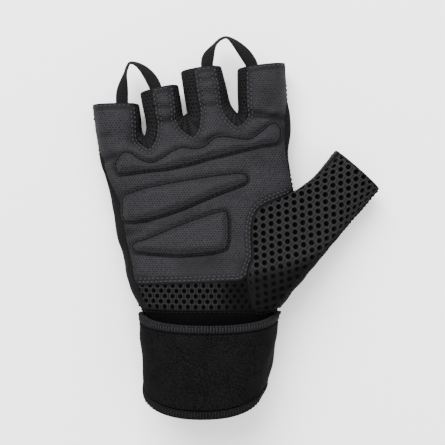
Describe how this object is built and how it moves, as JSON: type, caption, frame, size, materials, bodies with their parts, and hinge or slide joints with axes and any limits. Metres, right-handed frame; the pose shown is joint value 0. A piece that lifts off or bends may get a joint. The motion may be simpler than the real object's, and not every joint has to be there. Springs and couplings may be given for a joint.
{
  "type": "weightlifting glove",
  "caption": "Right-hand half-finger lifting glove lying palm up: padded synthetic-leather palm, mesh thumb, pull loops at the finger hems and a wrap-around wrist support",
  "frame": {"origin": "under the middle of the glove's box, on the surface it lies on", "axes": "+Y from the wrist to the fingers, +X towards the thumb, +Z out of the palm"},
  "size_m": [0.1512, 0.1964, 0.0474],
  "materials": {
    "leather": "matt pebbled synthetic leather",
    "knit": "matt stretch knit",
    "mesh": "matt open spacer mesh",
    "neoprene": "matt cloth-faced foam",
    "binding": "ribbed overlocked edge tape",
    "webbing": "woven tape",
    "hook_tape": "hook-and-loop tape"
  },
  "bodies": {
    "root": {"palm_leather": "leather", "back_panel": "knit", "heel_mesh": "mesh", "thumb_mesh": "mesh", "thumb_back": "knit", "thumb_patch": "leather", "cuff": "neoprene", "fourchette_little_ring": "mesh", "fourchette_ring_middle": "mesh", "fourchette_middle_index": "mesh", "knuckle_pad": "leather", "middle_pad": "leather", "lower_pad": "leather", "wrist_wrap": "neoprene", "wrap_top_binding": "binding", "wrap_bottom_binding": "binding", "closure_tab": "hook_tape", "pull_loop_little_ring": "webbing", "pull_loop_middle_index": "webbing"}
  },
  "joints": []
}
